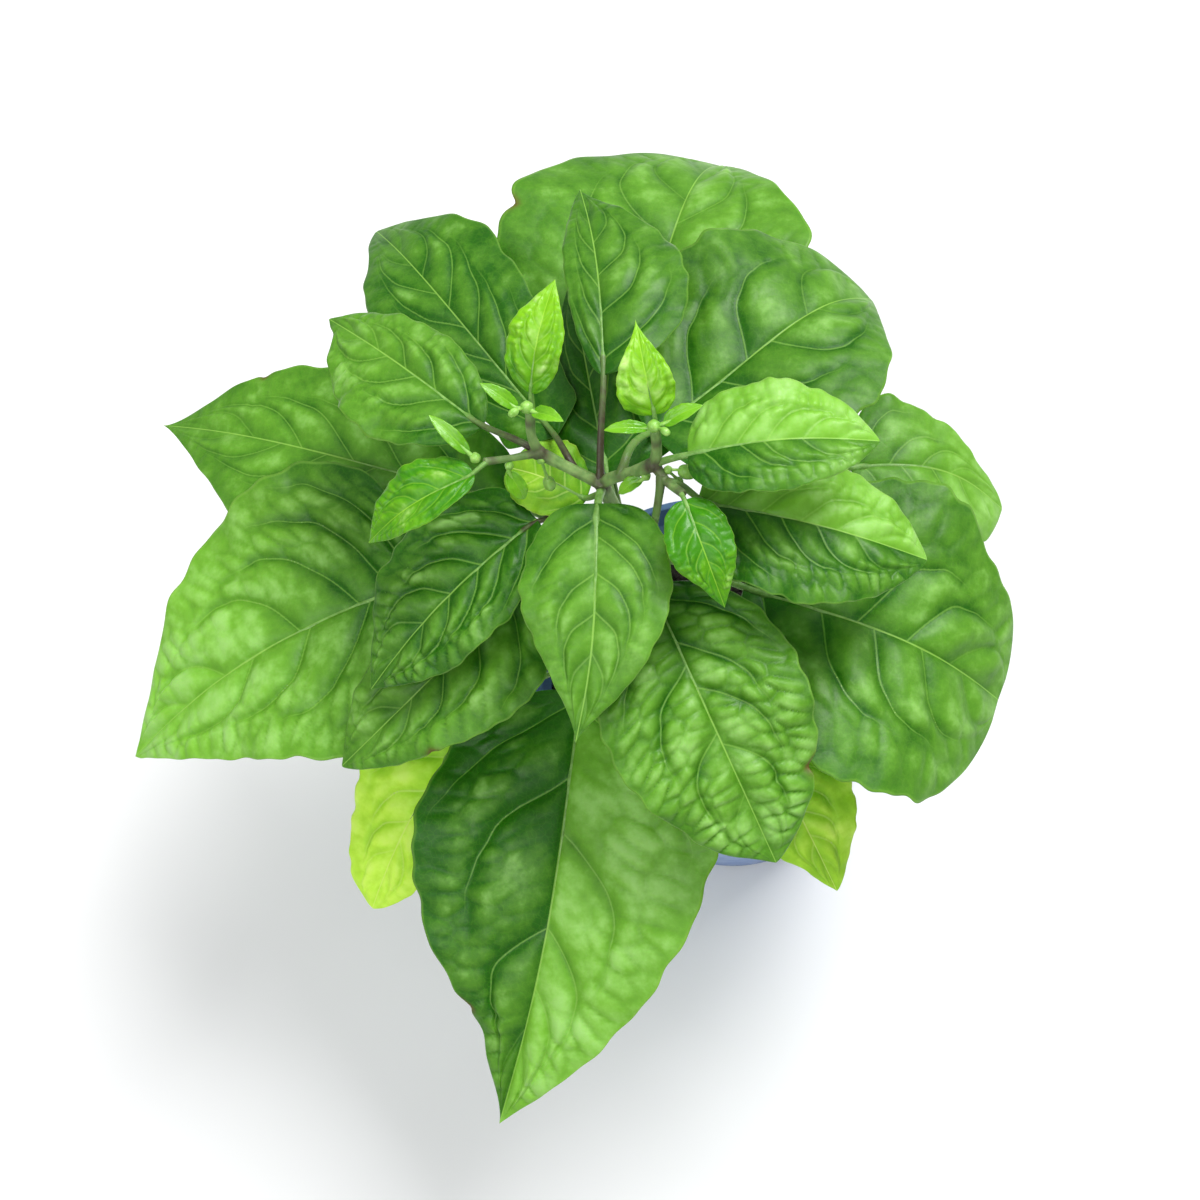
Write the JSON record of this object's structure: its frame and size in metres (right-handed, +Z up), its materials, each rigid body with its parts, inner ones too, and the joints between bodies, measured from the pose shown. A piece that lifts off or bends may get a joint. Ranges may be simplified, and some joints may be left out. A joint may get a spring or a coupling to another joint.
{
  "type": "potted chilli pepper plant",
  "caption": "Young leafy chilli pepper plant with a forked stem and small green buds, standing in soil in a tapered plastic nursery pot.",
  "frame": {"origin": "centre of the pot's flat foot, on the pot's axis, where the pot rests", "axes": "+Z up along the pot's axis; -Y towards the large front leaf; +X towards the large right leaf"},
  "size_m": [0.33, 0.3508, 0.352],
  "materials": {
    "pot_plastic": "moulded blue plastic with a faint sheen",
    "potting_soil": "dark damp crumbs",
    "plant_stem": "green skin with purple brown joints",
    "mature_leaf": "quilted leaf with a soft gloss",
    "pale_leaf": "yellow green leaf",
    "young_leaf": "glossy bright leaf",
    "green_bud": "smooth green skin"
  },
  "bodies": {
    "root": {"pot": "pot_plastic", "soil": "potting_soil", "stem": "plant_stem", "leaf_front": "mature_leaf", "leaf_left_large": "mature_leaf", "leaf_left_back": "mature_leaf", "leaf_left_upper": "mature_leaf", "leaf_back_left": "mature_leaf", "leaf_back": "mature_leaf", "leaf_back_upper": "mature_leaf", "leaf_back_right": "mature_leaf", "leaf_right_upper": "mature_leaf", "leaf_right_back": "mature_leaf", "leaf_right_middle": "mature_leaf", "leaf_right_large": "mature_leaf", "leaf_front_right": "mature_leaf", "leaf_front_upper": "mature_leaf", "leaf_left_middle": "mature_leaf", "leaf_left_front": "mature_leaf", "leaf_low_front_left": "pale_leaf", "leaf_low_front_right": "pale_leaf", "leaf_inner_left": "pale_leaf", "leaf_inner_back": "mature_leaf", "leaf_young_right": "young_leaf", "leaf_young_back_right": "young_leaf", "leaf_young_back_left": "young_leaf", "leaf_young_left": "young_leaf", "sprout_left_top": "green_bud", "sprout_left_side": "green_bud", "tiny_leaf_left": "green_bud", "sprout_right_top": "green_bud", "tiny_leaf_right": "green_bud", "flower_bud_right": "green_bud", "flower_bud_left": "green_bud"}
  },
  "joints": []
}
